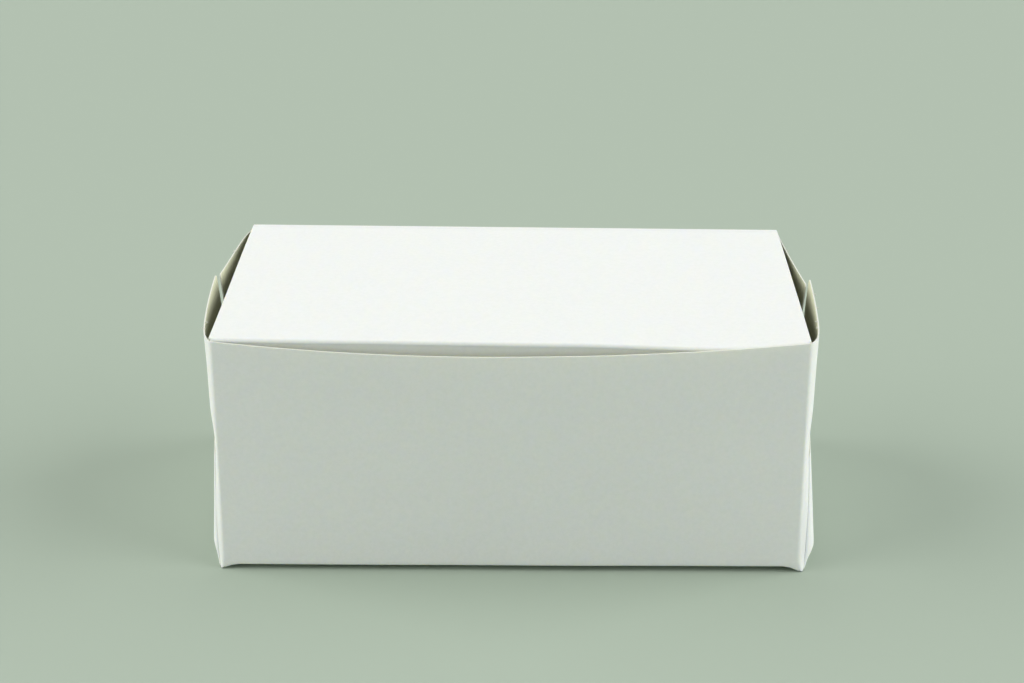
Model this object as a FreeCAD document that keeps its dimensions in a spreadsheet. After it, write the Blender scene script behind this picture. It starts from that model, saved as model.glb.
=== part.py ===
import FreeCAD, Part
import Sketcher
import os
from FreeCAD import Placement, Rotation, Vector

# Takeout food box, folded from one sheet of white card and shut with its tuck flap.
# The frame stands on the table: the origin is the middle of the base's underside,
# X runs along the box, Y from the front wall to the back wall, and Z up.
# Lengths are millimetres and angles degrees.

SIZES = [
    ("box_length", 200.0, "outside length at the top folds of the walls"),
    ("box_depth", 122.0, "outside depth at the top folds of the end flaps"),
    ("box_height", 85.0, "from the table to the top of the shut lid"),
    ("card", 0.45, "thickness of the card"),
    ("wall_taper", 1.2, "how far each side fold of a wall leans in towards the base"),
    ("front_bow_top", 4.0, "how far the front wall bellies out at its top"),
    ("front_bow_base", 0.3, "how far the front wall bellies out at the base"),
    ("front_dip", 3.8, "depth of the shallow curve cut in the front wall's top edge"),
    ("knee_run", 6.0, "length of end flap that springs out beside its fold"),
    ("front_knee_out", 2.6, "how far a front flap has sprung out there, at the top"),
    ("back_knee_out", 0.8, "how far a back flap has sprung out there, at the top"),
    ("glued_knee_out", 2.0, "how far any flap has sprung out there, beside the end panel"),
    ("base_knee_out", 0.2, "how far any flap has sprung out there, at the base"),
    ("front_splay", 6.6, "how far a front flap's free edge stands out at the top"),
    ("back_splay", 5.6, "how far a back flap's free edge stands out at the top"),
    ("flap_curve", 0.9, "rise of the gentle curve along a flap"),
    ("flap_curve_base", 0.1, "rise of that curve at the base"),
    ("slot_width", 2.0, "open slot between the front and the back flap of an end"),
    ("front_flap_rise", 1.0, "how far a front flap's free corner stands above the lid"),
    ("back_flap_rise", 0.2, "how far a back flap's free corner stands above the lid"),
    ("front_flap_corner", 4.0, "corner radius of a front flap"),
    ("back_flap_corner", 1.5, "corner radius of a back flap"),
    ("glue_gap", 0.12, "film of glue between the flaps and the end panel"),
    ("belly_height", 9.5, "height of the soft bend low in the end panel"),
    ("panel_height", 44.0, "height of the end panel's top edge"),
    ("panel_setback", 1.0, "from a wall's fold to the end panel's upright edge"),
    ("panel_base_out", 0.2, "how far the end panel's fold stands out from the box length"),
    ("panel_edge_out", 1.3, "how far its upright edges stand out above the soft bend"),
    ("panel_knee_run", 8.0, "from a wall's fold to where the end panel has sprung out"),
    ("panel_knee_base", 0.25, "how far it has sprung out there, at the base"),
    ("panel_knee_belly", 3.6, "how far it has sprung out there, at the soft bend"),
    ("panel_knee_top", 2.9, "how far it has sprung out there, at its top edge"),
    ("panel_middle_base", 0.5, "how far its middle stands out at the base"),
    ("panel_middle_belly", 5.6, "how far its middle stands out at the soft bend"),
    ("panel_middle_top", 6.1, "how far its middle stands out at its top edge"),
    ("panel_slant", 3.0, "how far the end panel's upright edges lean in"),
    ("panel_corner", 4.0, "corner radius of the end panel"),
    ("hinge_drop", 0.6, "from the lid's crease down to the edge that it folds on"),
    ("lid_side_gap", 0.1, "from the box length to each side edge of the lid"),
    ("fold_gap", 0.35, "between the front wall and the lid's front fold"),
    ("fold_radius", 1.2, "outside radius of the lid's front fold"),
    ("tuck_depth", 22.0, "length of the tuck flap below the fold"),
    ("tuck_lean", 7.0, "lean of the tuck flap into the box"),
    ("tuck_margin", 2.5, "from the box length to the tuck flap's root"),
    ("tuck_slant", 5.0, "how far the tuck flap narrows on each side"),
    ("tuck_corner", 10.0, "corner radius of the tuck flap"),
    ("trim_reach", 10.0, "how far the trimming shapes stand clear of the card"),
    ("trim_margin", 2.0, "height of card above the flaps' corners before they are trimmed"),
]

# One spreadsheet row a size: its name, its value and what it is
doc = FreeCAD.newDocument("takeout_food_box")
sizes = doc.addObject("Spreadsheet::Sheet", "Sizes")
for row, (alias, number, meaning) in enumerate(SIZES, start=1):
    sizes.set(f"A{row}", alias)
    sizes.set(f"B{row}", str(number))
    sizes.set(f"C{row}", meaning)
    sizes.setAlias(f"B{row}", alias)
doc.recompute()

# Ways a flat outline can stand: seen from above, from the front and from the right
FROM_ABOVE = Rotation()
FROM_FRONT = Rotation(Vector(1, 0, 0), 90)
FROM_RIGHT = Rotation(Vector(1, 1, 1), 120)

# Which side of the box a wall stands on, as the sign of its Y
FRONT = -1
BACK = 1

# Expressions that several pieces share
HALF_LENGTH = "Sizes.box_length / 2"
HALF_DEPTH = "Sizes.box_depth / 2"
SEAT_HEIGHT = "(Sizes.box_height - Sizes.card / 2 - Sizes.hinge_drop)"
TOP_LEVEL = "(Sizes.box_height + Sizes.front_flap_rise + Sizes.trim_margin)"
TRIM_TOP = "(Sizes.box_height + Sizes.front_flap_rise + Sizes.trim_reach)"
CORNER_SHORTFALL = "(1 - cos(45 deg))"


def value_of(expression):
    """The number that an expression gives with the sizes as they are."""
    found = sizes.evalExpression(expression)
    return float(getattr(found, "Value", found))


def spot(pair):
    """The point of an outline that a pair of expressions gives."""
    return Vector(value_of(pair[0]), value_of(pair[1]), 0)


def corner_at(sketch, edge, place):
    """Which end of an edge lies at a place: 1 for its first end, 2 for its second."""
    first = sketch.getPoint(edge, 1).distanceToPoint(place)
    second = sketch.getPoint(edge, 2).distanceToPoint(place)
    return 1 if first < second else 2


def pin(sketch, edge, end, pair):
    """Ties one point of a sketch to a pair of expressions."""
    place = spot(pair)
    for direction, expression, number in (("DistanceX", pair[0], place.x), ("DistanceY", pair[1], place.y)):
        index = sketch.addConstraint(Sketcher.Constraint(direction, -1, 1, edge, end, number))
        sketch.setExpression(f"Constraints[{index}]", expression)


def outline(name, corners, bends=None, standing=FROM_ABOVE, moved=None):
    """A closed outline through corners, each a pair of expressions.

    bends gives, by the number of the corner that an edge leaves, a pair that the edge curves through.
    moved gives expressions for the place of the outline's plane, by axis.
    """
    bends = bends or {}
    sketch = doc.addObject("Sketcher::SketchObject", name)
    sketch.Placement = Placement(Vector(), standing)
    for axis, expression in (moved or {}).items():
        sketch.setExpression(f"Placement.Base.{axis}", expression)
    places = [spot(pair) for pair in corners]
    for number, place in enumerate(places):
        following = places[(number + 1) % len(places)]
        if number in bends:
            edge = Part.Arc(place, spot(bends[number]), following)
        else:
            edge = Part.LineSegment(place, following)
        sketch.addGeometry(edge, False)
    for number, place in enumerate(places):
        end = corner_at(sketch, number, place)
        before = number - 1 if number else len(places) - 1
        end_before = corner_at(sketch, before, place)
        sketch.addConstraint(Sketcher.Constraint("Coincident", before, end_before, number, end))
        pin(sketch, number, end, corners[number])
    for number, pair in bends.items():
        guide = sketch.addGeometry(Part.Point(spot(pair)), True)
        pin(sketch, guide, 1, pair)
        sketch.addConstraint(Sketcher.Constraint("PointOnObject", guide, 1, number))
    return sketch


def loft(name, sections):
    """A sheet of card that runs straight from each outline to the next."""
    sheet = doc.addObject("Part::Loft", name)
    sheet.Sections = sections
    sheet.Solid = True
    sheet.Ruled = True
    return sheet


def extrusion(name, sketch, direction, length, both_ways=False):
    """An outline drawn out along a direction by an expression's length."""
    body = doc.addObject("Part::Extrusion", name)
    body.Base = sketch
    body.DirMode = "Custom"
    body.Dir = direction
    body.setExpression("LengthFwd", length)
    body.Solid = True
    body.Symmetric = both_ways
    return body


def boolean(kind, name, base, tool):
    """Two shapes cut or met: the kind is Part::Cut or Part::Common."""
    result = doc.addObject(kind, name)
    result.Base = base
    result.Tool = tool
    return result


# From the end panel's outside to the outside of the flaps that are glued behind it
BEHIND_PANEL = "(Sizes.card + Sizes.glue_gap)"


def sheet_levels(knee_out, splay):
    """The four heights at which a wall and its end flaps are outlined, with their sizes as expressions."""
    return [
        {"name": "base", "height": "0", "fold_in": "Sizes.wall_taper",
         "knee_out": "Sizes.base_knee_out", "end_out": f"Sizes.panel_middle_base - {BEHIND_PANEL}",
         "curve": "Sizes.flap_curve_base"},
        {"name": "belly", "height": "Sizes.belly_height", "fold_in": "Sizes.wall_taper",
         "knee_out": "Sizes.glued_knee_out", "end_out": f"Sizes.panel_middle_belly - {BEHIND_PANEL}",
         "curve": "(Sizes.flap_curve + Sizes.flap_curve_base) / 2"},
        {"name": "panel", "height": "Sizes.panel_height", "fold_in": "Sizes.wall_taper / 2",
         "knee_out": "Sizes.glued_knee_out", "end_out": f"Sizes.panel_middle_top - {BEHIND_PANEL}",
         "curve": "Sizes.flap_curve"},
        {"name": "top", "height": TOP_LEVEL, "fold_in": "0",
         "knee_out": knee_out, "end_out": splay, "curve": "Sizes.flap_curve"},
    ]


def front_bow(height):
    """How far the front wall bellies out at a height: evenly more from the base to the top."""
    rise = "(Sizes.front_bow_top - Sizes.front_bow_base)"
    return f"(Sizes.front_bow_base + {rise} * {height} / {TOP_LEVEL})"


def sheet_outline(name, side, level):
    """The card of a wall and its two end flaps, cut across at one height; side is -1 in front, 1 behind."""
    bow = front_bow(level["height"])
    fold = f"({HALF_LENGTH} - {level['fold_in']})"
    knee = f"({fold} + {level['knee_out']})"
    end = f"({HALF_LENGTH} + {level['end_out']})"
    middle = f"(({knee} + {end}) / 2 + {level['curve']})"
    wall_y = f"{side} * {HALF_DEPTH}"
    wall_inside_y = f"{side} * ({HALF_DEPTH} - Sizes.card)"
    knee_y = f"{side} * ({HALF_DEPTH} - Sizes.knee_run)"
    end_y = f"{side} * Sizes.slot_width / 2"
    middle_y = f"{side} * ({HALF_DEPTH} - Sizes.knee_run + Sizes.slot_width / 2) / 2"
    corners = [
        (end, end_y),
        (knee, knee_y),
        (fold, wall_y),
        (f"-{fold}", wall_y),
        (f"-{knee}", knee_y),
        (f"-{end}", end_y),
        (f"-({end} - Sizes.card)", end_y),
        (f"-({knee} - Sizes.card)", knee_y),
        (f"-({fold} - Sizes.card)", wall_inside_y),
        (f"{fold} - Sizes.card", wall_inside_y),
        (f"{knee} - Sizes.card", knee_y),
        (f"{end} - Sizes.card", end_y),
    ]
    bends = {
        0: (middle, middle_y),
        4: (f"-{middle}", middle_y),
        6: (f"-({middle} - Sizes.card)", middle_y),
        10: (f"{middle} - Sizes.card", middle_y),
    }
    if side == FRONT:
        bends[2] = ("0", f"-({HALF_DEPTH} + {bow})")
        bends[8] = ("0", f"-({HALF_DEPTH} + {bow} - Sizes.card)")
    return outline(name, corners, bends, moved={"z": level["height"]})


def folded_sheet(name, side, levels):
    """A wall with its two end flaps, from the table to above the flaps' corners."""
    sections = [sheet_outline(f"{name}_{level['name']}", side, level) for level in levels]
    return loft(name, sections)


# The front wall bellies out towards its top, and the back wall is straight, as its lid's crease is
front_sheet = folded_sheet("front_sheet", FRONT, sheet_levels("Sizes.front_knee_out", "Sizes.front_splay"))
back_sheet = folded_sheet("back_sheet", BACK, sheet_levels("Sizes.back_knee_out", "Sizes.back_splay"))

# The line along which the end flaps are cut: level beside each wall, up to the free corners at the slot
front_corner_top = "(Sizes.box_height + Sizes.front_flap_rise)"
back_corner_top = "(Sizes.box_height + Sizes.back_flap_rise)"
half_slot = "Sizes.slot_width / 2"
front_round = "Sizes.front_flap_corner"
back_round = "Sizes.back_flap_corner"
flap_line = outline(
    "flap_line",
    [
        (f"-{HALF_DEPTH} - Sizes.trim_reach", SEAT_HEIGHT),
        (f"-({HALF_DEPTH} - Sizes.knee_run)", SEAT_HEIGHT),
        (f"-({half_slot} + {front_round})", front_corner_top),
        (f"-{half_slot}", f"{front_corner_top} - {front_round}"),
        (half_slot, f"{back_corner_top} - {back_round}"),
        (f"{half_slot} + {back_round}", back_corner_top),
        (f"{HALF_DEPTH} - Sizes.knee_run", SEAT_HEIGHT),
        (f"{HALF_DEPTH} + Sizes.trim_reach", SEAT_HEIGHT),
        (f"{HALF_DEPTH} + Sizes.trim_reach", TRIM_TOP),
        (f"-{HALF_DEPTH} - Sizes.trim_reach", TRIM_TOP),
    ],
    {
        2: (f"-({half_slot} + {front_round} * {CORNER_SHORTFALL})",
            f"{front_corner_top} - {front_round} * {CORNER_SHORTFALL}"),
        4: (f"{half_slot} + {back_round} * {CORNER_SHORTFALL}",
            f"{back_corner_top} - {back_round} * {CORNER_SHORTFALL}"),
    },
    FROM_RIGHT,
)
flap_trim = extrusion("flap_trim", flap_line, Vector(1, 0, 0),
                      "Sizes.box_length + 2 * Sizes.front_splay + 2 * Sizes.trim_reach", True)

# The shallow curve of the front wall's top edge
dip_line = outline(
    "dip_line",
    [
        (f"-{HALF_LENGTH}", SEAT_HEIGHT),
        (HALF_LENGTH, SEAT_HEIGHT),
        (HALF_LENGTH, TRIM_TOP),
        (f"-{HALF_LENGTH}", TRIM_TOP),
    ],
    {0: ("0", f"{SEAT_HEIGHT} - Sizes.front_dip")},
    FROM_FRONT,
    {"y": f"-{HALF_DEPTH} - Sizes.trim_reach"},
)
dip_trim = extrusion("dip_trim", dip_line, Vector(0, 1, 0),
                     "Sizes.trim_reach + Sizes.card + Sizes.fold_gap / 2")

front_level_cut = boolean("Part::Cut", "front_level_cut", front_sheet, flap_trim)
front_piece = boolean("Part::Cut", "front_piece", front_level_cut, dip_trim)
back_piece = boolean("Part::Cut", "back_piece", back_sheet, flap_trim)

# The base, whose edges end halfway through the card that folds up from them
base_x = f"({HALF_LENGTH} + Sizes.panel_base_out - Sizes.card / 2)"
base_y = f"({HALF_DEPTH} - Sizes.card / 2)"
base_outline = outline(
    "base_outline",
    [
        (f"-{base_x}", f"-{base_y}"),
        (base_x, f"-{base_y}"),
        (base_x, base_y),
        (f"-{base_x}", base_y),
    ],
    {0: ("0", f"-({base_y} + Sizes.front_bow_base)")},
)
base_panel = extrusion("base_panel", base_outline, Vector(0, 0, 1), "Sizes.card")

# The end panel, folded up from the base outside the flaps and glued to them
panel_y = f"({HALF_DEPTH} - Sizes.panel_setback)"


def end_panel_outline(name, height, edge_out, knee_out, middle_out):
    """The end panel's card cut across at one height."""
    edge = f"({HALF_LENGTH} + {edge_out})"
    knee = f"({HALF_LENGTH} + {knee_out})"
    middle = f"({HALF_LENGTH} + {middle_out})"
    knee_y = f"({HALF_DEPTH} - Sizes.panel_knee_run)"
    corners = [
        (edge, f"-{panel_y}"),
        (knee, f"-{knee_y}"),
        (knee, knee_y),
        (edge, panel_y),
        (f"{edge} - Sizes.card", panel_y),
        (f"{knee} - Sizes.card", knee_y),
        (f"{knee} - Sizes.card", f"-{knee_y}"),
        (f"{edge} - Sizes.card", f"-{panel_y}"),
    ]
    bends = {1: (middle, "0"), 5: (f"{middle} - Sizes.card", "0")}
    return outline(name, corners, bends, moved={"z": height})


end_sheet = loft("end_sheet", [
    end_panel_outline("end_sheet_base", "0", "Sizes.panel_base_out",
                      "Sizes.panel_knee_base", "Sizes.panel_middle_base"),
    end_panel_outline("end_sheet_belly", "Sizes.belly_height", "Sizes.panel_edge_out",
                      "Sizes.panel_knee_belly", "Sizes.panel_middle_belly"),
    end_panel_outline("end_sheet_top", "Sizes.panel_height", "Sizes.panel_edge_out",
                      "Sizes.panel_knee_top", "Sizes.panel_middle_top"),
])
panel_round = "Sizes.panel_corner"
panel_top_y = f"({panel_y} - Sizes.panel_slant)"
panel_blank = outline(
    "panel_blank",
    [
        (f"-{panel_y}", "-Sizes.trim_reach"),
        (panel_y, "-Sizes.trim_reach"),
        (panel_y, "Sizes.belly_height"),
        (panel_top_y, f"Sizes.panel_height - {panel_round}"),
        (f"{panel_top_y} - {panel_round}", "Sizes.panel_height"),
        (f"-({panel_top_y} - {panel_round})", "Sizes.panel_height"),
        (f"-{panel_top_y}", f"Sizes.panel_height - {panel_round}"),
        (f"-{panel_y}", "Sizes.belly_height"),
    ],
    {
        3: (f"{panel_top_y} - {panel_round} * {CORNER_SHORTFALL}",
            f"Sizes.panel_height - {panel_round} * {CORNER_SHORTFALL}"),
        5: (f"-({panel_top_y} - {panel_round} * {CORNER_SHORTFALL})",
            f"Sizes.panel_height - {panel_round} * {CORNER_SHORTFALL}"),
    },
    FROM_RIGHT,
)
panel_shape = extrusion("panel_shape", panel_blank, Vector(1, 0, 0),
                        "Sizes.box_length + 2 * Sizes.trim_reach", True)
right_panel = boolean("Part::Common", "right_panel", end_sheet, panel_shape)
left_panel = doc.addObject("Part::Mirroring", "left_panel")
left_panel.Source = right_panel
left_panel.Normal = Vector(1, 0, 0)

box_body = doc.addObject("Part::MultiFuse", "box_body")
box_body.Shapes = [base_panel, front_piece, back_piece, right_panel, left_panel]
box_body.Refine = True
box_body.Label = "box_body"

# The lid: its panel ends in a round bead on the crease's axis and turns down into the tuck flap
crease_y = f"({HALF_DEPTH} - Sizes.card / 2)"
crease_z = "(Sizes.box_height - Sizes.card / 2)"
fold_front = f"(-{HALF_DEPTH} + Sizes.card + Sizes.fold_gap)"
bend_y = f"({fold_front} + Sizes.fold_radius)"
bend_z = "(Sizes.box_height - Sizes.fold_radius)"
inner_radius = "(Sizes.fold_radius - Sizes.card)"
lean_sine = "sin(Sizes.tuck_lean * 1 deg)"
lean_cosine = "cos(Sizes.tuck_lean * 1 deg)"
half_bend = "((90 + Sizes.tuck_lean) / 2 * 1 deg)"
tuck_foot_y = f"Sizes.tuck_depth * {lean_sine}"
tuck_foot_z = f"Sizes.tuck_depth * {lean_cosine}"
lid_profile = outline(
    "lid_profile",
    [
        (crease_y, "Sizes.box_height"),
        (bend_y, "Sizes.box_height"),
        (f"{bend_y} - Sizes.fold_radius * {lean_cosine}", f"{bend_z} - Sizes.fold_radius * {lean_sine}"),
        (f"{bend_y} - Sizes.fold_radius * {lean_cosine} + {tuck_foot_y}",
         f"{bend_z} - Sizes.fold_radius * {lean_sine} - {tuck_foot_z}"),
        (f"{bend_y} - {inner_radius} * {lean_cosine} + {tuck_foot_y}",
         f"{bend_z} - {inner_radius} * {lean_sine} - {tuck_foot_z}"),
        (f"{bend_y} - {inner_radius} * {lean_cosine}", f"{bend_z} - {inner_radius} * {lean_sine}"),
        (bend_y, "Sizes.box_height - Sizes.card"),
        (crease_y, "Sizes.box_height - Sizes.card"),
    ],
    {
        1: (f"{bend_y} - Sizes.fold_radius * sin({half_bend})",
            f"{bend_z} + Sizes.fold_radius * cos({half_bend})"),
        5: (f"{bend_y} - {inner_radius} * sin({half_bend})",
            f"{bend_z} + {inner_radius} * cos({half_bend})"),
        7: (f"{crease_y} + Sizes.card / 2", crease_z),
    },
    FROM_RIGHT,
)
lid_sheet = extrusion("lid_sheet", lid_profile, Vector(1, 0, 0),
                      "Sizes.box_length - 2 * Sizes.lid_side_gap", True)

# What is cut away beside the tuck flap, which narrows to two round corners
tuck_root_x = f"({HALF_LENGTH} - Sizes.tuck_margin)"
tuck_foot_x = f"({tuck_root_x} - Sizes.tuck_slant)"
tuck_root_z = "(Sizes.box_height - Sizes.card)"
tuck_bottom_z = f"({bend_z} - {tuck_foot_z})"
tuck_round = "Sizes.tuck_corner"
tuck_side_line = outline(
    "tuck_side_line",
    [
        (tuck_root_x, tuck_root_z),
        (tuck_foot_x, f"{tuck_bottom_z} + {tuck_round}"),
        (f"{tuck_foot_x} - {tuck_round}", tuck_bottom_z),
        (f"{tuck_foot_x} - {tuck_round}", f"{tuck_bottom_z} - Sizes.trim_reach"),
        (f"{HALF_LENGTH} + Sizes.trim_reach", f"{tuck_bottom_z} - Sizes.trim_reach"),
        (f"{HALF_LENGTH} + Sizes.trim_reach", tuck_root_z),
    ],
    {1: (f"{tuck_foot_x} - {tuck_round} * {CORNER_SHORTFALL}",
         f"{tuck_bottom_z} + {tuck_round} * {CORNER_SHORTFALL}")},
    FROM_FRONT,
    {"y": f"-{HALF_DEPTH}"},
)
right_tuck_trim = extrusion("right_tuck_trim", tuck_side_line, Vector(0, 1, 0),
                            f"{tuck_foot_y} + Sizes.trim_reach")
left_tuck_trim = doc.addObject("Part::Mirroring", "left_tuck_trim")
left_tuck_trim.Source = right_tuck_trim
left_tuck_trim.Normal = Vector(1, 0, 0)
lid_right_cut = boolean("Part::Cut", "lid_right_cut", lid_sheet, right_tuck_trim)
lid = boolean("Part::Cut", "lid", lid_right_cut, left_tuck_trim)
lid.Label = "lid"

# Build, check and write each sub-part
doc.recompute()
for item in doc.Objects:
    if "Invalid" in item.State or "Error" in item.State:
        raise RuntimeError(f"{item.Label} could not be built: {item.State}")
os.makedirs("parts", exist_ok=True)
for piece in (box_body, lid):
    shape = piece.Shape
    if shape.isNull() or not shape.isValid():
        raise RuntimeError(f"{piece.Label} is not a sound shape")
    if len(shape.Solids) != 1:
        raise RuntimeError(f"{piece.Label} has {len(shape.Solids)} solids")
    shape.exportStep(f"parts/{piece.Label}.step")
    print(piece.Label, f"{shape.Volume:.1f} mm3", shape.BoundBox)
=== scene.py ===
import math

import bmesh
import bpy
from mathutils import Matrix, Vector, noise


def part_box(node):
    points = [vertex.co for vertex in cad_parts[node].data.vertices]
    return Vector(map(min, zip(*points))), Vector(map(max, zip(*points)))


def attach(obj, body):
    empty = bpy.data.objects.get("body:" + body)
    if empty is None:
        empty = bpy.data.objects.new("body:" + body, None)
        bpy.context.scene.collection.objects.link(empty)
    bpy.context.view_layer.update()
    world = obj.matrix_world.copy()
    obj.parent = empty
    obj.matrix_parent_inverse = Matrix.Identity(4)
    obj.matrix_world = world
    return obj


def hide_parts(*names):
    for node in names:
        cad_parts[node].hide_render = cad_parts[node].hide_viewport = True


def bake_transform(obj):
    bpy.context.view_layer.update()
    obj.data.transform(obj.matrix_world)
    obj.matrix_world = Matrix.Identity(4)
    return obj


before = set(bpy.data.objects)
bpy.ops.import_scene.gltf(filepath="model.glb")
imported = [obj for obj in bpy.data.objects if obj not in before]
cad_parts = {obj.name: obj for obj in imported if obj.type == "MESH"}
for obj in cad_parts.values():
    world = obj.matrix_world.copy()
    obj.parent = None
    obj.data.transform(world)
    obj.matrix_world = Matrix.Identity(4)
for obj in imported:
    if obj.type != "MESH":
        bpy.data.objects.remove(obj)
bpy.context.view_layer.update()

# The box below its lid is one sheet of white card, die-cut, creased and folded: base, two long
# walls, four end flaps that fold round from the walls, and an end panel glued outside the flaps
# at each end. The card has sprung open and bowed between its folds, and it rests on its corners.
MM = 0.001
CARD = 0.45
GLUE = 0.03
LID_SIDE_GAP = 0.1
HALF_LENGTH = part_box("lid")[1].x / MM + LID_SIDE_GAP
HALF_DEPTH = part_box("box_body")[1].y / MM
BOX_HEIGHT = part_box("lid")[1].z / MM
FRONT, BACK = -1, 1
LEFT, RIGHT = -1, 1
INWARD, OUTWARD = -1, 1

# Where the walls' side folds stand, at the foot and at the top, and how they flare at the foot
FOLD_AT_FOOT = {LEFT: 98.9, RIGHT: 98.8}
FOLD_AT_TOP = {LEFT: 99.9, RIGHT: 99.7}
FLARE = {LEFT: 0.95, RIGHT: 1.6}
FLARE_HEIGHT = 7.0
TURN = 0.9

# Soft unevenness of the card, as the length and the height of its waves
WALL_WAVE = (38.0, 0.3)
FINE_WAVE = (14.0, 0.06)
PANEL_WAVE = (22.0, 0.12)
PANEL_WAVE_STARTS = 6.0
CALM_RUN = 12.0

# The walls: the front one bellies out, and its top edge is cut in a shallow curve
BOW_AT_FOOT = 0.3
BOW_AT_TOP = 3.7
BACK_HOLLOW = 0.5
DIP = 3.9
DIP_MIDDLE = -8.0
FRONT_CORNER_HEIGHT = {LEFT: 83.8, RIGHT: 84.2}
BACK_CORNER_HEIGHT = {LEFT: 84.1, RIGHT: 83.6}
SEAM_HEIGHT = 81.9
RAISED_FOOT = {FRONT: (1.6, 2.0), BACK: (0.7, 0.7)}
RAISED_RUN = 6.0
RAISED_START = 0.5
CORNER_FOOT = 0.35
FLAP_FOOT = 0.65

# The end flaps, at five heights. Each one springs out from its fold, splays and curves, and ends
# at the open slot in the middle of the end.
LEVELS = (0.0, 9.5, 44.0, 72.0, 86.0)
LEVEL_STRETCH = 6.0
GLUED_RUN = 2.4
FREE_RUN = 14.0
FLAP_SOFT = 3.0
BENDS_END = 12.0
FLAPS = {
    (FRONT, LEFT): {"knee": (0.2, 2.1, 1.9, 2.5, 2.9), "splay": (0.5, 4.0, 3.0, 2.5, 3.6),
                    "curve": (0.1, 1.0, 0.8, 0.8, 0.8), "spring": 4.0, "length": 62.2,
                    "corner_top": 86.0, "corner_round": 1.6},
    (FRONT, RIGHT): {"knee": (0.2, 3.0, 2.1, 2.8, 3.2), "splay": (0.5, 3.5, 3.2, 2.2, 2.8),
                     "curve": (0.1, 0.6, 0.8, 0.7, 0.5), "spring": 4.0, "length": 60.7,
                     "corner_top": 86.0, "corner_round": 1.8},
    (BACK, LEFT): {"knee": (0.2, 2.0, 1.2, 1.8, 2.2), "splay": (0.5, 4.1, 3.0, 2.0, 3.0),
                   "curve": (0.1, 0.8, 0.4, -0.1, -0.2), "spring": 8.0, "length": 59.0,
                   "corner_top": 85.6, "corner_round": 1.2},
    (BACK, RIGHT): {"knee": (0.2, 2.4, 1.2, 0.4, 0.2), "splay": (0.5, 4.0, 3.2, 3.5, 5.0),
                    "curve": (0.1, 0.6, 0.4, -0.1, -0.5), "spring": 8.0, "length": 60.7,
                    "corner_top": 83.4, "corner_round": 1.2},
}

# The end panels, at the foot, the soft bend and the top. Their cut edges are pressed flat by the glue.
PANEL_TOP = 44.0
BASE_HALF_DEPTH = 60.0
PANEL_HALF_WIDTH = 58.6
PANEL_SLANT = 3.0
PANEL_CORNER = 4.0
PANEL_SPRING = 4.0
PRESSED = 0.42
PRESSED_RUN = 0.5
PANEL_SOFT = 0.7
PANELS = {
    LEFT: {"level": (0.0, 7.0, PANEL_TOP), "edge": (100.9, 101.3, 100.7), "knee": (0.0, 1.9, 0.3),
           "crown": (0.3, 2.4, 3.4)},
    RIGHT: {"level": (0.0, 5.6, PANEL_TOP), "edge": (101.6, 101.6, 101.0), "knee": (0.0, 4.0, 0.7),
            "crown": (0.3, 0.8, 3.0)},
}


def straight(stops, at):
    """The value at a place on straight lines through (place, value) stops, run on past both ends."""
    number = 1
    while number < len(stops) - 1 and at > stops[number][0]:
        number += 1
    (near, low), (far, high) = stops[number - 1], stops[number]
    return low + (high - low) * (at - near) / (far - near)


def eased(stops, at, soft):
    """Those straight lines with their bends softened over a length either side."""
    samples = 7
    offsets = [soft * (2 * number / (samples - 1) - 1) for number in range(samples)]
    return sum(straight(stops, at + offset) for offset in offsets) / samples


def smooth(share):
    """Rises evenly from 0 to 1 with level ends."""
    share = min(max(share, 0.0), 1.0)
    return share * share * (3 - 2 * share)


def between(first, second, share):
    return first + (second - first) * share


def rounded(start, corner, end, share):
    """A point on the curve that rounds a corner from start to end."""
    return between(between(start, corner, share), between(corner, end, share), share)


def ripple(x, y, z, wave):
    """The slight unevenness of card, in millimetres."""
    length, height = wave
    return height * noise.noise(Vector((x, y, z)) / length)


def fold_x(hand, height):
    """How far out a wall's side fold stands at a height."""
    flare = FLARE[hand] * max(0.0, 1 - height / FLARE_HEIGHT) ** 2
    return between(FOLD_AT_FOOT[hand], FOLD_AT_TOP[hand], height / BOX_HEIGHT) + flare


def panel_x(hand, y, height):
    """How far out the outside of an end panel stands."""
    def level(name):
        return eased(tuple(zip(PANELS[hand]["level"], PANELS[hand][name])), height, PANEL_SOFT)

    away = max(0.0, PANEL_HALF_WIDTH - abs(y))
    knee = level("knee") * (1 - math.exp(-away / PANEL_SPRING))
    crown = level("crown") * math.sin(math.pi * away / (2 * PANEL_HALF_WIDTH))
    wave = ripple(7 * hand, y, height, PANEL_WAVE) * smooth(height / PANEL_WAVE_STARTS)
    return level("edge") + knee + crown + wave


def pressed(y):
    """How far the cut edge at the side of an end panel is pressed in by the glue."""
    return PRESSED * math.exp(-max(0.0, PANEL_HALF_WIDTH - abs(y)) / PRESSED_RUN)


def flap_x(side, hand, away, height):
    """How far out the outside of an end flap stands, away from its fold."""
    flap = FLAPS[(side, hand)]

    def level(name):
        return eased(tuple(zip(LEVELS, flap[name])), height, FLAP_SOFT)

    share = away / flap["length"]
    fold = fold_x(hand, height)
    free = (fold + level("knee") * (1 - math.exp(-away / flap["spring"]))
            + level("splay") * share + level("curve") * 4 * share * (1 - share))
    inside = panel_x(hand, HALF_DEPTH - away, min(height, PANEL_TOP)) - CARD - GLUE
    glued = between(fold, inside, min(away / GLUED_RUN, 1.0))
    return between(glued, free, smooth((height - PANEL_TOP) / FREE_RUN))


def wall_bow(side, x, height):
    """How far a wall stands out from the line between its folds."""
    share = 1 - (x / HALF_LENGTH) ** 2
    if side == FRONT:
        wave = ripple(x, 0, height, WALL_WAVE) + ripple(x, 9, height, FINE_WAVE)
        return share * (between(BOW_AT_FOOT, BOW_AT_TOP, height / BOX_HEIGHT) + wave)
    calm = smooth((SEAM_HEIGHT - height) / CALM_RUN) * smooth(height / CALM_RUN)
    return share * calm * (ripple(x, 40, height, WALL_WAVE) - BACK_HOLLOW)


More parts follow.
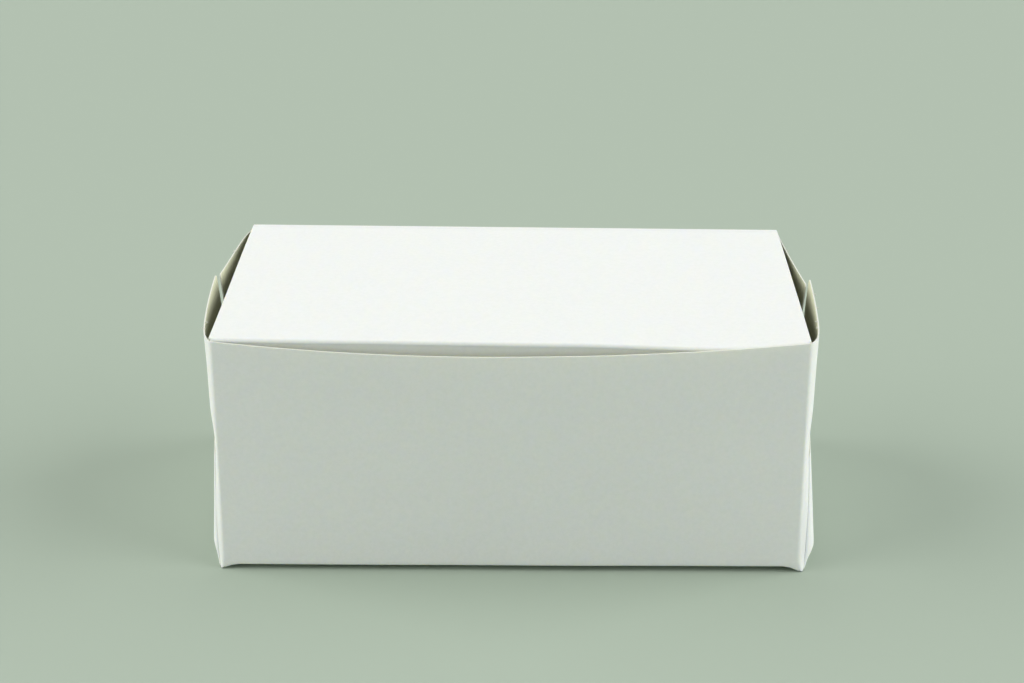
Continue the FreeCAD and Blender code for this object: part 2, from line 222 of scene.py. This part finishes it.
def sheet_place(side, column, height):
    """Where a column of a wall's sheet stands at a height.

    A column is a kind (wall, corner or flap), a hand and a measure.
    """
    kind, hand, measure = column
    if kind == "wall":
        left_end = -(fold_x(LEFT, height) - TURN)
        right_end = fold_x(RIGHT, height) - TURN
        x = between(left_end, right_end, measure)
        return Vector((x, side * (HALF_DEPTH + wall_bow(side, x, height)), height))
    if kind == "flap":
        x = hand * flap_x(side, hand, measure, height)
        return Vector((x, side * (HALF_DEPTH - measure), height))
    start = sheet_place(side, ("wall", 0, 0 if hand == LEFT else 1), height)
    end = sheet_place(side, ("flap", hand, TURN), height)
    corner = Vector((hand * fold_x(hand, height), side * HALF_DEPTH, height))
    return rounded(start, corner, end, measure)


def raised_foot(side, x):
    """How far a wall's bottom fold has sprung up from the table, which it meets at each corner."""
    left, right = RAISED_FOOT[side]
    away = min(max((HALF_LENGTH - RAISED_START - abs(x)) / RAISED_RUN, 0.0), 1.0)
    return between(left, right, (x / HALF_LENGTH + 1) / 2) * (1 - (1 - away) ** 2)


def sheet_foot(side, column):
    """The height at which a column of a wall's sheet begins."""
    kind, _, measure = column
    if kind == "wall":
        x = sheet_place(side, column, CORNER_FOOT).x
        return raised_foot(side, x) + TURN
    if kind == "corner":
        return between(TURN, CORNER_FOOT, smooth(measure * 2))
    return between(CORNER_FOOT, FLAP_FOOT, smooth(measure / 4))


def sheet_top(side, column):
    """The height at which a column of a wall's sheet is cut."""
    kind, hand, measure = column
    if kind == "wall" and side == FRONT:
        x = sheet_place(side, column, BOX_HEIGHT).x
        level = between(FRONT_CORNER_HEIGHT[LEFT], FRONT_CORNER_HEIGHT[RIGHT], measure)
        run = HALF_LENGTH - DIP_MIDDLE if x > DIP_MIDDLE else HALF_LENGTH + DIP_MIDDLE
        return level - DIP * (1 - ((x - DIP_MIDDLE) / run) ** 2)
    if kind == "wall":
        return SEAM_HEIGHT
    corner = FRONT_CORNER_HEIGHT[hand] if side == FRONT else BACK_CORNER_HEIGHT[hand]
    if kind == "corner":
        return corner if side == FRONT else between(SEAM_HEIGHT, corner, smooth(measure * 2.5))
    flap = FLAPS[(side, hand)]
    rise = max(0.0, measure - LEVEL_STRETCH) / (flap["length"] - LEVEL_STRETCH)
    height = between(corner, flap["corner_top"], rise)
    inward = max(0.0, flap["corner_round"] - (flap["length"] - measure))
    return height - flap["corner_round"] + math.sqrt(flap["corner_round"] ** 2 - inward ** 2)


def evenly(count):
    """Shares from 0 to 1."""
    return [number / count for number in range(count + 1)]


def flap_columns(side, hand):
    """Columns of an end flap to its free edge, closer at its bends and at its round corner."""
    corner_round = FLAPS[(side, hand)]["corner_round"]
    run = FLAPS[(side, hand)]["length"] - corner_round
    bends = [between(TURN, BENDS_END, share) for share in evenly(8)]
    plain = [between(BENDS_END, run, share) for share in evenly(16)[1:]]
    end = [run + corner_round * math.sin(share * math.pi / 2) for share in evenly(6)[1:]]
    return [("flap", hand, measure) for measure in bends + plain + end]


def sheet_columns(side):
    """All columns of a wall's sheet, from the left flap's free edge to the right flap's."""
    turned = evenly(6)[1:-1]
    left = flap_columns(side, LEFT)
    right = flap_columns(side, RIGHT)
    left_turn = [("corner", LEFT, share) for share in turned]
    right_turn = [("corner", RIGHT, share) for share in turned]
    wall = [("wall", 0, share) for share in WALL_SHARES]
    return left[::-1] + left_turn[::-1] + wall + right_turn + right


def base_height(x, y):
    """The underside of the base, which lifts with the walls' bottom folds."""
    share = (y / BASE_HALF_DEPTH + 1) / 2
    front = raised_foot(FRONT, x) * (1 - smooth(share / 0.7))
    back = raised_foot(BACK, x) * smooth((share - 0.4) / 0.6)
    return front + back


def base_place(column, y):
    """A point of the base's underside, on a wall's column or on the way to an end panel."""
    kind, hand, measure = column
    share = (y / BASE_HALF_DEPTH + 1) / 2
    if kind == "wall":
        x = between(sheet_place(FRONT, column, TURN).x, sheet_place(BACK, column, TURN).x, share)
    else:
        inner = hand * (fold_x(hand, TURN) - TURN)
        x = between(inner, hand * (panel_x(hand, y, 0.0) - TURN), measure)
    return Vector((x, y, base_height(x, y)))


def add_grid(surface, rows, columns, place):
    """Adds a grid of faces whose points place(row, column) gives in millimetres."""
    points = [[surface.verts.new(place(row, column) * MM) for column in columns] for row in rows]
    for lower, upper in zip(points, points[1:]):
        for number in range(len(columns) - 1):
            surface.faces.new((lower[number], lower[number + 1], upper[number + 1], upper[number]))


WELD = 0.002
CRISP_ANGLE = math.radians(50)


def finished_card(name, surface, outward, live=False):
    """Gives a folded surface the card's thickness, its three materials and crisp cut edges."""
    bmesh.ops.remove_doubles(surface, verts=surface.verts, dist=WELD * MM)
    bmesh.ops.recalc_face_normals(surface, faces=surface.faces)
    surface.faces.ensure_lookup_table()
    probe, direction = outward
    nearest = min(surface.faces, key=lambda face: (face.calc_center_median() - probe * MM).length)
    if nearest.normal.dot(direction) < 0:
        bmesh.ops.reverse_faces(surface, faces=surface.faces)
    for face in surface.faces:
        face.smooth = True
    mesh = bpy.data.meshes.new(name)
    surface.to_mesh(mesh)
    surface.free()
    piece = bpy.data.objects.new(name, mesh)
    bpy.context.scene.collection.objects.link(piece)
    for material in (white_card, card_inside, cut_card):
        mesh.materials.append(material)
    thicken = piece.modifiers.new("card", "SOLIDIFY")
    thicken.thickness = CARD * MM
    thicken.offset = -1
    thicken.use_even_offset = True
    thicken.use_quality_normals = True
    thicken.material_offset = 1
    thicken.material_offset_rim = 2
    if live:
        return piece
    solid = bpy.data.meshes.new_from_object(piece.evaluated_get(bpy.context.evaluated_depsgraph_get()))
    piece.modifiers.clear()
    piece.data = solid
    crisp = bmesh.new()
    crisp.from_mesh(solid)
    for edge in crisp.edges:
        if len(edge.link_faces) == 2 and edge.calc_face_angle() > CRISP_ANGLE:
            edge.smooth = False
    crisp.to_mesh(solid)
    crisp.free()
    return piece


class Signal:
    """A socket of a material's nodes, so that its maths can be written as expressions."""

    def __init__(self, tree, socket=None):
        self.tree = tree
        self.socket = socket

    def node(self, kind, settings=None, sockets=None, output=0):
        """Adds a node with its settings made first and its sockets filled, and gives one output."""
        made = self.tree.nodes.new(kind)
        for name, value in (settings or {}).items():
            setattr(made, name, value)
        for name, value in (sockets or {}).items():
            if isinstance(value, Signal):
                self.tree.links.new(value.socket, made.inputs[name])
            else:
                made.inputs[name].default_value = value
        return Signal(self.tree, made.outputs[output])

    def math(self, operation, first, second):
        return self.node("ShaderNodeMath", {"operation": operation}, {0: first, 1: second})

    def __add__(self, other):
        return self.math("ADD", self, other)

    def __sub__(self, other):
        return self.math("SUBTRACT", self, other)

    def __rsub__(self, other):
        return self.math("SUBTRACT", other, self)

    def __mul__(self, other):
        return self.math("MULTIPLY", self, other)

    __radd__ = __add__
    __rmul__ = __mul__

    def between(self, low, high):
        """Stretches a range of this value to 0 to 1."""
        return self.node("ShaderNodeMapRange", {}, {"Value": self, "From Min": low, "From Max": high})

    def tint(self, first, second):
        """A colour between two, by this value."""
        return self.node("ShaderNodeMix", {"data_type": "RGBA"}, {0: self, 6: first, 7: second}, 2)

    def speckle(self, place, scale, detail, roughness=0.5):
        """Soft noise at a place."""
        return self.node("ShaderNodeTexNoise", {"noise_dimensions": "3D"},
                         {"Vector": place, "Scale": scale, "Detail": detail, "Roughness": roughness})

    def stretched(self, scale):
        """This place, stretched along its axes."""
        return self.node("ShaderNodeMapping", {}, {"Vector": self, "Scale": scale})

    def bump(self, strength, depth):
        """A normal from this height."""
        return self.node("ShaderNodeBump", {}, {"Height": self, "Strength": strength, "Distance": depth * MM})


def new_material(name):
    """An empty material, a signal to build on, and its output's surface socket."""
    material = bpy.data.materials.new(name)
    material.use_nodes = True
    tree = material.node_tree
    tree.nodes.clear()
    output = tree.nodes.new("ShaderNodeOutputMaterial")
    return material, Signal(tree), output.inputs["Surface"]


def shade(start, surface, sockets):
    """Ends a material in one surface shader with these sockets."""
    shader = start.node("ShaderNodeBsdfPrincipled", {}, sockets)
    start.tree.links.new(shader.socket, surface)


CARD_WHITE = (0.85, 0.86, 0.835, 1)
CARD_CLOUD = (0.815, 0.832, 0.802, 1)
INSIDE_CREAM = (0.835, 0.855, 0.62, 1)
INSIDE_FLECK = (0.775, 0.79, 0.54, 1)
CORE_CREAM = (0.82, 0.825, 0.76, 1)
CORE_SHADE = (0.71, 0.71, 0.63, 1)

white_card, start, surface_socket = new_material("white_card")
place = start.node("ShaderNodeTexCoord", output=3)
cloud = start.speckle(place, 620, 4, 0.6)
grain = start.speckle(place, 1500, 3, 0.6)
fibres = start.speckle(place.stretched((1.0, 1.6, 2.2)), 900, 5, 0.7)
formation = cloud * 0.7 + grain * 0.3
height = cloud * 0.5 + fibres * 0.35 + grain * 0.15
shade(start, surface_socket, {
    "Base Color": formation.between(0.38, 0.66).tint(CARD_WHITE, CARD_CLOUD),
    "Roughness": 0.62 + grain * 0.22,
    "Specular IOR Level": 0.25,
    "Subsurface Weight": 0.6,
    "Subsurface Radius": (1.0, 0.85, 0.55),
    "Subsurface Scale": 0.6 * MM,
    "Normal": height.bump(0.5, 0.06),
})

card_inside, start, surface_socket = new_material("card_inside")
place = start.node("ShaderNodeTexCoord", output=3)
pulp = start.speckle(place, 700, 5, 0.65)
grain = start.speckle(place, 2000, 3, 0.6)
height = pulp * 0.6 + grain * 0.4
shade(start, surface_socket, {
    "Base Color": pulp.between(0.35, 0.7).tint(INSIDE_CREAM, INSIDE_FLECK),
    "Roughness": 0.8,
    "Specular IOR Level": 0.25,
    "Normal": height.bump(0.6, 0.08),
})

cut_card, start, surface_socket = new_material("cut_card")
place = start.node("ShaderNodeTexCoord", output=3)
layers = start.speckle(place.stretched((1.0, 1.0, 3.0)), 2600, 4, 0.7)
shade(start, surface_socket, {
    "Base Color": layers.between(0.4, 0.75).tint(CORE_CREAM, CORE_SHADE),
    "Roughness": 0.85,
    "Specular IOR Level": 0.2,
    "Normal": layers.bump(0.8, 0.08),
})

WALL_SHARES = evenly(80)
HEIGHT_SHARES = [share ** 1.15 for share in evenly(40)]
PANEL_SHARES = [share ** 1.3 for share in evenly(26)]
TURN_SHARES = evenly(5)

# Columns of an end panel, closer at its round corners
panel_run = PANEL_HALF_WIDTH - PANEL_CORNER
panel_end = [PANEL_HALF_WIDTH - PANEL_CORNER * (1 - math.cos(share * math.pi / 2)) for share in evenly(6)]
panel_middle = [between(-panel_run, panel_run, share) for share in evenly(44)[1:-1]]
PANEL_COLUMNS = [-y for y in panel_end] + panel_middle + panel_end[::-1]

folded = bmesh.new()
for side in (FRONT, BACK):
    def standing(share, column):
        """The wall with its end flaps, from the bottom fold to the cut top."""
        height = between(sheet_foot(side, column), sheet_top(side, column), share)
        return sheet_place(side, column, height)

    def turning(share, column):
        """The round bottom fold, from the base to the wall."""
        end = sheet_place(side, column, sheet_foot(side, column))
        start_point = base_place(column, side * BASE_HALF_DEPTH)
        corner = Vector((end.x, end.y, start_point.z))
        return rounded(start_point, corner, end, share)

    add_grid(folded, HEIGHT_SHARES, sheet_columns(side), standing)
    add_grid(folded, TURN_SHARES, [("wall", 0, share) for share in WALL_SHARES], turning)

base_columns = ([("end", LEFT, share) for share in (1.0, 0.5)]
                + [("wall", 0, share) for share in WALL_SHARES]
                + [("end", RIGHT, share) for share in (0.5, 1.0)])
base_rows = [-BASE_HALF_DEPTH] + PANEL_COLUMNS + [BASE_HALF_DEPTH]
add_grid(folded, base_rows, base_columns, lambda y, column: base_place(column, y))


def panel_top(y):
    """The end panel's cut top, with its round corners."""
    inward = max(0.0, abs(y) - (PANEL_HALF_WIDTH - PANEL_CORNER))
    return PANEL_TOP - PANEL_CORNER + math.sqrt(PANEL_CORNER ** 2 - inward ** 2)


for hand in (LEFT, RIGHT):
    def panel_place(share, y):
        """The end panel's outside, which narrows a little towards its top."""
        height = between(TURN, panel_top(y), share)
        narrowed = y * (1 - PANEL_SLANT / PANEL_HALF_WIDTH * smooth((height - TURN) / PANEL_TOP))
        return Vector((hand * (panel_x(hand, narrowed, height) - pressed(y)), narrowed, height))

    def panel_turn(share, y):
        """The round fold from the base to the end panel."""
        start_point = base_place(("end", hand, 1.0), y)
        corner = Vector((hand * panel_x(hand, y, 0.0), y, start_point.z))
        return rounded(start_point, corner, panel_place(0.0, y), share)

    add_grid(folded, PANEL_SHARES, PANEL_COLUMNS, panel_place)
    add_grid(folded, TURN_SHARES, PANEL_COLUMNS, panel_turn)

FORWARD = (Vector((0, -HALF_DEPTH, 40)), Vector((0, -1, 0)))
box_card = finished_card("box_card", folded, FORWARD)
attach(box_card, "box")
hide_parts("box_body")

# Where the die tore the card instead of cutting it, small tufts of fibres stand up from the end
# flaps' top edges: a few clear ones, mostly on the front flaps, and finer fuzz along all four.
FIBRE_LENGTH = 0.85
FIBRE_THICKNESS = 0.12
FIBRES_IN_TUFT = 14
FIBRE_RISE = 0.25
FIBRE_ROOT = 0.1
FIBRE_INSET = 0.05
TUFT_SPREAD = 0.22
FUZZ_LENGTH = 0.425
FUZZ_FIBRES = 3
FUZZ_SPREAD = 0.132
FUZZ_SPACING = 3.7
FUZZ_ENDS = 14.0
FIBRE_SEED = 7
TUFTS = (
    (FRONT, LEFT, 17.5, INWARD), (FRONT, LEFT, 12.0, OUTWARD),
    (FRONT, RIGHT, 45.0, OUTWARD), (FRONT, RIGHT, 33.0, OUTWARD), (FRONT, RIGHT, 20.0, INWARD),
    (FRONT, RIGHT, 14.0, INWARD), (BACK, LEFT, 30.0, OUTWARD), (BACK, RIGHT, 22.0, OUTWARD),
)


def fibre_nodes():
    """A tree that grows bent fibres on points, each leaning along the point's own lean vector."""
    tree = bpy.data.node_groups.new("torn_fibres", "GeometryNodeTree")
    tree.interface.new_socket("Geometry", in_out="INPUT", socket_type="NodeSocketGeometry")
    for name, kind in (("Fibre length", "NodeSocketFloat"), ("Fibre thickness", "NodeSocketFloat"),
                       ("Fibres in a tuft", "NodeSocketInt"), ("Tuft spread", "NodeSocketFloat"),
                       ("Seed", "NodeSocketInt"), ("Material", "NodeSocketMaterial")):
        tree.interface.new_socket(name, in_out="INPUT", socket_type=kind)
    tree.interface.new_socket("Geometry", in_out="OUTPUT", socket_type="NodeSocketGeometry")
    group_input = tree.nodes.new("NodeGroupInput")
    group_output = tree.nodes.new("NodeGroupOutput")
    start = Signal(tree)

    def given(name):
        return Signal(tree, group_input.outputs[name])

    def scattered(low, high, seed_step):
        return start.node("FunctionNodeRandomValue", {"data_type": "FLOAT_VECTOR"},
                          {0: (low,) * 3, 1: (high,) * 3, "Seed": given("Seed") + seed_step})

    bend = start.node("GeometryNodeCurveQuadraticBezier", {}, {
        "Resolution": 4, "Start": (0, 0, -0.1), "Middle": (0.05, 0, 0.6), "End": (0.4, 0, 1.0)})
    radius = start.math("DIVIDE", given("Fibre thickness") * 0.5, given("Fibre length"))
    ring = start.node("GeometryNodeCurvePrimitiveCircle", {}, {"Resolution": 4, "Radius": radius})
    fibre = start.node("GeometryNodeCurveToMesh", {},
                       {"Curve": bend, "Profile Curve": ring, "Fill Caps": True})
    tufts = start.node("GeometryNodeDuplicateElements", {"domain": "POINT"},
                       {"Geometry": given("Geometry"), "Amount": given("Fibres in a tuft")})
    offset = start.node("ShaderNodeVectorMath", {"operation": "SCALE"},
                        {0: scattered(-1.0, 1.0, 0), "Scale": given("Tuft spread")})
    spread = start.node("GeometryNodeSetPosition", {}, {"Geometry": tufts, "Offset": offset})
    lean = start.node("GeometryNodeInputNamedAttribute", {"data_type": "FLOAT_VECTOR"},
                      {"Name": "lean"})
    aim = start.node("ShaderNodeVectorMath", {"operation": "ADD"}, {0: lean, 1: scattered(-0.8, 0.8, 1)})
    turn = start.node("FunctionNodeAlignRotationToVector", {"axis": "Z"}, {"Vector": aim})
    size = start.node("FunctionNodeRandomValue", {"data_type": "FLOAT"},
                      {2: 0.35, 3: 1.0, "Seed": given("Seed") + 2}, 1)
    grown = start.node("GeometryNodeInstanceOnPoints", {}, {
        "Points": spread, "Instance": fibre, "Rotation": turn, "Scale": size * given("Fibre length")})
    real = start.node("GeometryNodeRealizeInstances", {}, {"Geometry": grown})
    dressed = start.node("GeometryNodeSetMaterial", {},
                         {"Geometry": real, "Material": given("Material")})
    tree.links.new(dressed.socket, group_output.inputs["Geometry"])
    return tree


def grown_fibres(name, places, inputs):
    """Grows the tree's fibres on a list of (place, lean) and gives them as a plain mesh object."""
    points = bmesh.new()
    lean_layer = points.verts.layers.float_vector.new("lean")
    for place, lean in places:
        points.verts.new(place * MM)[lean_layer] = lean
    mesh = bpy.data.meshes.new(name)
    points.to_mesh(mesh)
    points.free()
    piece = bpy.data.objects.new(name, mesh)
    bpy.context.scene.collection.objects.link(piece)
    grower = piece.modifiers.new("fibres", "NODES")
    grower.node_group = fibre_nodes()
    for item in grower.node_group.interface.items_tree:
        if item.in_out == "INPUT" and item.name in inputs:
            grower[item.identifier] = inputs[item.name]
    grown = bpy.data.meshes.new_from_object(piece.evaluated_get(bpy.context.evaluated_depsgraph_get()))
    piece.modifiers.clear()
    piece.data = grown
    return piece


def edge_place(side, hand, away, leaning):
    """A point on a flap's top cut edge, at its outer or inner face, and the way that fibres lean there."""
    column = ("flap", hand, away)
    top = sheet_place(side, column, sheet_top(side, column))
    depth = FIBRE_INSET if leaning == OUTWARD else CARD
    return top - Vector((hand * depth, 0, FIBRE_ROOT)), Vector((hand * leaning, 0, FIBRE_RISE))


fuzz = []
for (side, hand), flap in FLAPS.items():
    away = FUZZ_SPACING
    while away < flap["length"] - FUZZ_ENDS:
        fuzz.append(edge_place(side, hand, away, INWARD))
        away += FUZZ_SPACING * (1 + noise.noise(Vector((away, 9.3 * side, 4.1 * hand))))
tufts = [edge_place(*tuft) for tuft in TUFTS]
for name, places, length, count, spread in (
        ("torn_tufts", tufts, FIBRE_LENGTH, FIBRES_IN_TUFT, TUFT_SPREAD),
        ("torn_fuzz", fuzz, FUZZ_LENGTH, FUZZ_FIBRES, FUZZ_SPREAD)):
    fibres = grown_fibres(name, places, {
        "Fibre length": length * MM,
        "Fibre thickness": FIBRE_THICKNESS * MM,
        "Fibres in a tuft": count,
        "Tuft spread": spread * MM,
        "Seed": FIBRE_SEED,
        "Material": cut_card,
    })
    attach(fibres, "box")

# The lid and its tuck flap are the same sheet, folded over from the top of the back wall. The
# lid's front has sunk a little, mostly right of the middle, and the tuck flap goes down behind
# the front wall, narrowing to two round corners.
LID_HALF_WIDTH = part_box("lid")[1].x / MM
LID_SHIFT = -0.4
LID_BACK_SHIFT = 0.0
LID_SPREAD = 0.0025
LID_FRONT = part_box("lid")[0].y / MM
SEAM_DEPTH = 57.9
LID_ROUND = 1.2
LID_CORNER = 0.5
LID_FRONT_LINE = ((-100, 84.6), (-45, 84.5), (30, 83.8), (75, 82.0), (100, 84.3))
LID_FRONT_SOFT = 9.0
LID_BOW = 1.4
LID_WAVE = (42.0, 0.3)
TUCK_HALF_WIDTH = LID_HALF_WIDTH - LID_CORNER
CREASE_LIFT = {LEFT: 0.8, RIGHT: -0.45}
TUCK_SLANT = 5.0
TUCK_CORNER = 10.0
TUCK_END = 10.8
TUCK_DEPTH = 22.0
TUCK_LEAN = math.radians(7)


def lid_front(x):
    """Where the lid's panel ends at the front: at the fold's start, or at the cut edge beside it."""
    if abs(x) <= TUCK_HALF_WIDTH:
        return LID_FRONT - LID_BOW * (1 - (x / HALF_LENGTH) ** 2) + LID_ROUND
    inward = abs(x) - TUCK_HALF_WIDTH
    return LID_FRONT + LID_CORNER - math.sqrt(max(0.0, LID_CORNER ** 2 - inward ** 2))


def crease_height(x):
    """The crease runs a little uphill to the left."""
    return BOX_HEIGHT + between(CREASE_LIFT[LEFT], CREASE_LIFT[RIGHT], (x / HALF_LENGTH + 1) / 2)


def lid_place(share, x):
    """A point of the lid's upper face, from the crease's seam to the front fold."""
    y = between(SEAM_DEPTH, lid_front(x), share)
    level = between(crease_height(x), BOX_HEIGHT, smooth(share))
    sunk = (BOX_HEIGHT - eased(LID_FRONT_LINE, x, LID_FRONT_SOFT)) * share ** 1.7
    wave = smooth(share * 6) * ripple(x, y, 5, LID_WAVE) * (1 - smooth((share - 0.8) * 5))
    spread = 1 + LID_SPREAD * (2 * share - 1)
    shift = between(LID_BACK_SHIFT, LID_SHIFT, share)
    return Vector((x * spread + shift, y, level - sunk + wave))


def fold_place(share, x):
    """The round front fold."""
    angle = share * (math.pi / 2 + TUCK_LEAN)
    start_point = lid_place(1.0, x)
    return start_point + Vector((0, -LID_ROUND * math.sin(angle), -LID_ROUND * (1 - math.cos(angle))))


def tuck_place(share, x):
    """A point of the tuck flap's outside."""
    root = fold_place(1.0, x)
    across = abs(x) / TUCK_HALF_WIDTH * (TUCK_HALF_WIDTH - TUCK_SLANT)
    inward = max(0.0, across - (TUCK_HALF_WIDTH - TUCK_SLANT - TUCK_CORNER))
    depth = share * (TUCK_DEPTH - TUCK_CORNER + math.sqrt(TUCK_CORNER ** 2 - inward ** 2))
    narrowed = x * (1 - TUCK_SLANT / TUCK_HALF_WIDTH * depth / TUCK_DEPTH)
    down = Vector((0, math.sin(TUCK_LEAN), -math.cos(TUCK_LEAN))) * depth
    return Vector((narrowed + LID_SHIFT, root.y, root.z)) + down


def closer_to(edge, run, count):
    """Columns over a run that ends at an edge, closer together towards it."""
    return [edge - run * (1 - math.sin(share * math.pi / 2)) for share in evenly(count)]


round_end = closer_to(LID_HALF_WIDTH, LID_CORNER, 6)
tuck_end = closer_to(TUCK_HALF_WIDTH, TUCK_END, 8)
plain_run = [between(-tuck_end[0], tuck_end[0], share) for share in evenly(72)[1:-1]]
tuck_columns = [-x for x in reversed(tuck_end)] + plain_run + tuck_end
lid_columns = [-x for x in reversed(round_end)] + tuck_columns + round_end

folded = bmesh.new()
add_grid(folded, evenly(48), lid_columns, lid_place)
add_grid(folded, evenly(7), tuck_columns, fold_place)
add_grid(folded, evenly(14), tuck_columns, tuck_place)
UP = (Vector((0, 0, BOX_HEIGHT)), Vector((0, 0, 1)))
lid_card = finished_card("lid_card", folded, UP)
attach(lid_card, "lid")
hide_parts("lid")

# The crease between the back wall and the lid is a scored and rolled line of the same card. It
# is the lid's hinge, a narrow strip of card that runs up the wall, over the fold and on to the lid.
CREASE_ROUND = 1.0
WIDENING_STARTS = 1.4
WIDENING_RUN = 1.6


def crease_place(share, across):
    """A point of the strip's outside: up the wall, over the fold and on to the lid."""
    run = share * 3
    wall_left = -(fold_x(LEFT, SEAM_HEIGHT) - TURN)
    wall_right = fold_x(RIGHT, SEAM_HEIGHT) - TURN
    widening = min(max((run - WIDENING_STARTS) / WIDENING_RUN, 0.0), 1.0)
    widened = math.sqrt(1 - (1 - widening) ** 2)
    lid_left, lid_right = [LID_BACK_SHIFT + hand * LID_HALF_WIDTH * (1 - LID_SPREAD)
                           for hand in (LEFT, RIGHT)]
    x = between(between(wall_left, lid_left, widened), between(wall_right, lid_right, widened), across)
    centre_y = HALF_DEPTH - CREASE_ROUND
    centre_z = crease_height(x) - CREASE_ROUND
    if run < 1:
        return Vector((x, HALF_DEPTH, between(SEAM_HEIGHT, centre_z, run)))
    if run > 2:
        return Vector((x, between(centre_y, SEAM_DEPTH, run - 2), crease_height(x)))
    angle = (run - 1) * math.pi / 2
    return Vector((x, centre_y + CREASE_ROUND * math.cos(angle), centre_z + CREASE_ROUND * math.sin(angle)))


folded = bmesh.new()
add_grid(folded, evenly(24), WALL_SHARES, crease_place)
BACKWARD = (Vector((0, HALF_DEPTH, 83)), Vector((0, 1, 0)))
lid_crease_card = finished_card("lid_crease_card", folded, BACKWARD, live=True)
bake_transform(lid_crease_card)

# The table and the light: a plain pale table, a broad soft light above and behind, a stronger one
# towards each end of the box, and a faint even light from all round. The camera stands where the
# picture was taken from, in front of the box and above it.
TABLE_SAGE = (0.41, 0.48, 0.40, 1)
TABLE_RADIUS = 8.0
ROOM_COLOR = (0.90, 0.95, 0.92, 1)
ROOM_STRENGTH = 0.325

table_material, start, surface_socket = new_material("plain_table")
shade(start, surface_socket, {"Base Color": TABLE_SAGE, "Roughness": 0.9, "Specular IOR Level": 0.1})
table_mesh = bpy.data.meshes.new("table")
ring = bmesh.new()
bmesh.ops.create_circle(ring, cap_ends=True, radius=TABLE_RADIUS, segments=64)
ring.to_mesh(table_mesh)
ring.free()
table_mesh.materials.append(table_material)
table = bpy.data.objects.new("table", table_mesh)
bpy.context.scene.collection.objects.link(table)

world = bpy.data.worlds.new("room")
world.use_nodes = True
bpy.context.scene.world = world
background = world.node_tree.nodes["Background"]
background.inputs["Color"].default_value = ROOM_COLOR
background.inputs["Strength"].default_value = ROOM_STRENGTH


def soft_sun(name, source, strength, width, color):
    """A broad soft light from far off, in the direction of a source as seen from the box."""
    data = bpy.data.lights.new(name, "SUN")
    data.energy = strength
    data.angle = math.radians(width)
    data.color = color
    sun = bpy.data.objects.new(name, data)
    sun.rotation_euler = Vector(source).to_track_quat("Z", "Y").to_euler()
    bpy.context.scene.collection.objects.link(sun)


soft_sun("overhead", (-0.16, 0.41, 0.90), 0.55, 95, (1.0, 1.0, 1.0))
soft_sun("left_end", (-0.70, -0.05, 0.32), 2.35, 70, (1.0, 0.99, 0.97))
soft_sun("right_end", (0.70, -0.05, 0.29), 2.6, 70, (1.0, 1.0, 1.0))

CAMERA_PLACE = Vector((9.18, -769.15, 352.20))
CAMERA_LOOKS_DOWN = math.radians(20.7123)
CAMERA_TURN = math.radians(0.7095)
CAMERA_ROLL = math.radians(0.0407)
CAMERA_LENS = 80.29
CAMERA_SENSOR = 36.0
camera_data = bpy.data.cameras.new("camera")
camera_data.sensor_width = CAMERA_SENSOR
camera_data.sensor_fit = "HORIZONTAL"
camera_data.lens = CAMERA_LENS
camera = bpy.data.objects.new("camera", camera_data)
camera.matrix_world = (Matrix.Translation(CAMERA_PLACE * MM) @ Matrix.Rotation(CAMERA_TURN, 4, "Z")
                       @ Matrix.Rotation(math.pi / 2 - CAMERA_LOOKS_DOWN, 4, "X")
                       @ Matrix.Rotation(CAMERA_ROLL, 4, "Z"))
bpy.context.scene.collection.objects.link(camera)
bpy.context.scene.camera = camera
bpy.context.scene.view_settings.view_transform = "Standard"
